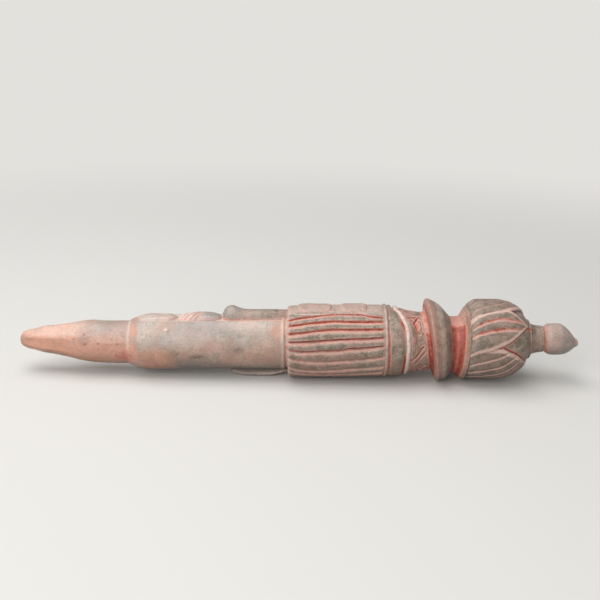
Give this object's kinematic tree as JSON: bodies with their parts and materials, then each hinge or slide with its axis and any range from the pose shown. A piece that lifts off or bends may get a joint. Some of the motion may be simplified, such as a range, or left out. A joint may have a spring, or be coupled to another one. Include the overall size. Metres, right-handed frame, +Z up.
{
  "type": "fertility doll",
  "caption": "Hand-carved soapstone fertility doll lying on its back: pointed peg, round shaft, ribbed drum, zigzag band, flange, petalled dome and small knob, with red ochre in its grooves.",
  "frame": {"origin": "on the ground under the middle of the doll as it lies on its flange and its back bar", "axes": "+X along the doll from the tip of its peg to its knob, which is raised by the flange; +Y towards the doll's right side; +Z up, which is where its carved front faces"},
  "size_m": [0.3002, 0.0446, 0.044],
  "materials": {
    "salmon_soapstone": "satin",
    "pale_soapstone": "satin",
    "pink_soapstone": "satin",
    "grey_soapstone": "satin",
    "red_ochre_soapstone": "satin"
  },
  "bodies": {
    "root": {"peg_point": "salmon_soapstone", "peg_shank": "pale_soapstone", "shaft": "pale_soapstone", "lower_front_pad": "pink_soapstone", "rope_pad": "pink_soapstone", "front_bar": "grey_soapstone", "back_bar": "grey_soapstone", "ribbed_drum": "grey_soapstone", "lower_tablet": "pink_soapstone", "upper_tablet": "grey_soapstone", "edge_ring": "pink_soapstone", "ring_band": "grey_soapstone", "pale_ridge": "pink_soapstone", "zigzag_band": "grey_soapstone", "flange": "grey_soapstone", "collar": "red_ochre_soapstone", "dome_core": "grey_soapstone", "left_petal": "grey_soapstone", "right_petal": "grey_soapstone", "back_petal": "grey_soapstone", "front_petal": "grey_soapstone", "finial_neck": "grey_soapstone", "finial_knob": "pale_soapstone"}
  },
  "joints": []
}
